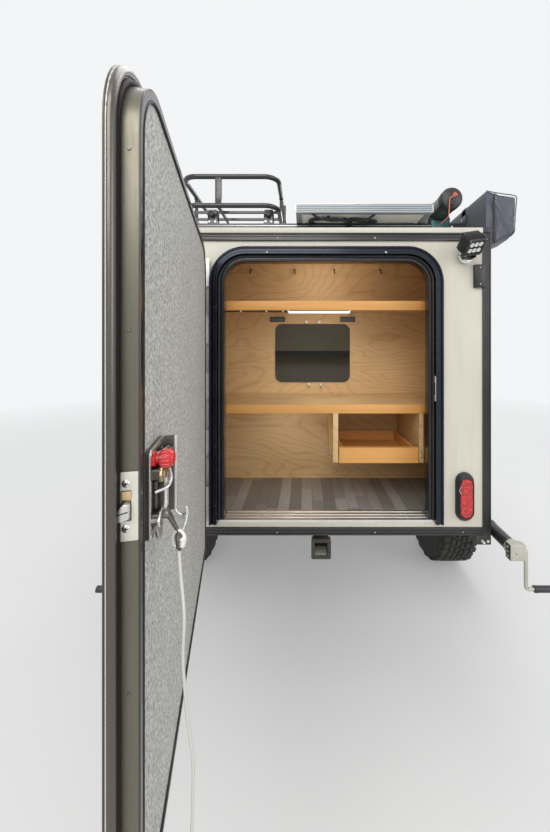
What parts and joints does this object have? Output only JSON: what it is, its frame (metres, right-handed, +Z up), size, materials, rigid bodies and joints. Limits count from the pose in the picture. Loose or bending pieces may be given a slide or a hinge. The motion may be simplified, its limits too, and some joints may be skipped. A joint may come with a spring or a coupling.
{
  "type": "teardrop camping trailer",
  "caption": "Small box-backed camping trailer on one axle, with a hinged rear galley door, side doors, roof rack, tube basket, rolled awning, corner jacks and an A-frame tongue.",
  "frame": {"origin": "on the ground below the middle of the whole trailer as it stands, rear door open", "axes": "+Y forward to the coupler, +X to the right seen from behind, +Z up"},
  "size_m": [1.866, 4.5838, 2.2065],
  "materials": {
    "chassis": "black powder coat",
    "zinc": "zinc plate",
    "skin": "cream gloss",
    "trim": "black satin",
    "alloy": "brushed",
    "ply": "clear varnish",
    "black_plastic": "black",
    "lamp_red": "red lens",
    "black_tube": "black powder coat",
    "tank": "dark green",
    "canvas": "dark grey coated fabric",
    "inner_panel": "light grey speckle",
    "cord": "black braid",
    "glazing": "tinted",
    "tyre": "rubber",
    "wheel_black": "black satin"
  },
  "bodies": {
    "trailer": {"frame_rails": "chassis", "frame_cross": "chassis", "tongue_frame": "chassis", "coupler": "zinc", "tongue_jack": "zinc", "axle_beam": "chassis", "axle_arms": "chassis", "receiver": "chassis", "floor_panel": "ply", "side_wall_left": "skin", "side_wall_right": "skin", "roof_panel": "skin", "rear_wall": "skin", "edge_trims": "trim", "rear_frame": "trim", "threshold": "alloy", "bulkhead": "ply", "galley_shelf": "ply", "galley_counter": "ply", "drawer_slides": "zinc", "light_bar": "black_plastic", "fenders": "trim", "tail_lamps": "lamp_red", "work_lamp": "black_plastic", "roof_rack": "trim", "roof_basket": "black_tube", "solar_panel": "alloy", "water_tube": "tank", "awning_bag": "canvas", "toolbox": "trim", "fixed_hinges": "trim"},
    "rear_door": {"rear_door_skin": "skin", "rear_door_rim": "alloy", "rear_door_panel": "inner_panel", "rear_door_latch": "black_plastic", "rear_door_fittings": "trim", "door_cord": "cord", "cord_knot": "cord"},
    "side_door_left": {"side_door_left": "skin", "side_glass_left": "glazing", "side_fittings_left": "trim"},
    "wheel_left": {"tyre_left": "tyre", "rim_left": "wheel_black"},
    "rear_jack_left": {"rear_jack_left": "zinc"},
    "side_door_right": {"side_door_right": "skin", "side_glass_right": "glazing", "side_fittings_right": "trim"},
    "wheel_right": {"tyre_right": "tyre", "rim_right": "wheel_black"},
    "rear_jack_right": {"rear_jack_right": "zinc"},
    "drawer": {"drawer": "ply"},
    "toolbox_lid": {"toolbox_lid": "trim"}
  },
  "joints": [
    {"name": "rear_door_hinge", "type": "hinge", "parent": "trailer", "child": "rear_door", "pos_m": [-0.505, -1.35088, 1.24], "axis": [0, 0, -1], "range_deg": [-78.35, 26.65]},
    {"name": "side_door_left_hinge", "type": "hinge", "parent": "trailer", "child": "side_door_left", "pos_m": [-0.683, 0.83012, 1.215], "axis": [0, 0, -1], "range_deg": [0, 100]},
    {"name": "side_door_right_hinge", "type": "hinge", "parent": "trailer", "child": "side_door_right", "pos_m": [0.683, 0.83012, 1.215], "axis": [0, 0, 1], "range_deg": [0, 100]},
    {"name": "toolbox_lid_hinge", "type": "hinge", "parent": "trailer", "child": "toolbox_lid", "pos_m": [0, 1.18712, 0.9608], "axis": [1, 0, 0], "range_deg": [0, 80]},
    {"name": "wheel_left_spin", "type": "hinge", "parent": "trailer", "child": "wheel_left", "pos_m": [-0.816, -0.39188, 0.39], "axis": [1, 0, 0], "continuous": true},
    {"name": "wheel_right_spin", "type": "hinge", "parent": "trailer", "child": "wheel_right", "pos_m": [0.816, -0.39188, 0.39], "axis": [1, 0, 0], "continuous": true},
    {"name": "rear_jack_left_swivel", "type": "hinge", "parent": "trailer", "child": "rear_jack_left", "pos_m": [-0.7, -1.16388, 0.631], "axis": [-1, 0, 0], "range_deg": [0, 90]},
    {"name": "rear_jack_right_swivel", "type": "hinge", "parent": "trailer", "child": "rear_jack_right", "pos_m": [0.7, -1.16388, 0.631], "axis": [-1, 0, 0], "range_deg": [0, 90]},
    {"name": "drawer_slide", "type": "slide", "parent": "trailer", "child": "drawer", "axis": [0, -1, 0], "range_m": [0, 0.25]}
  ]
}
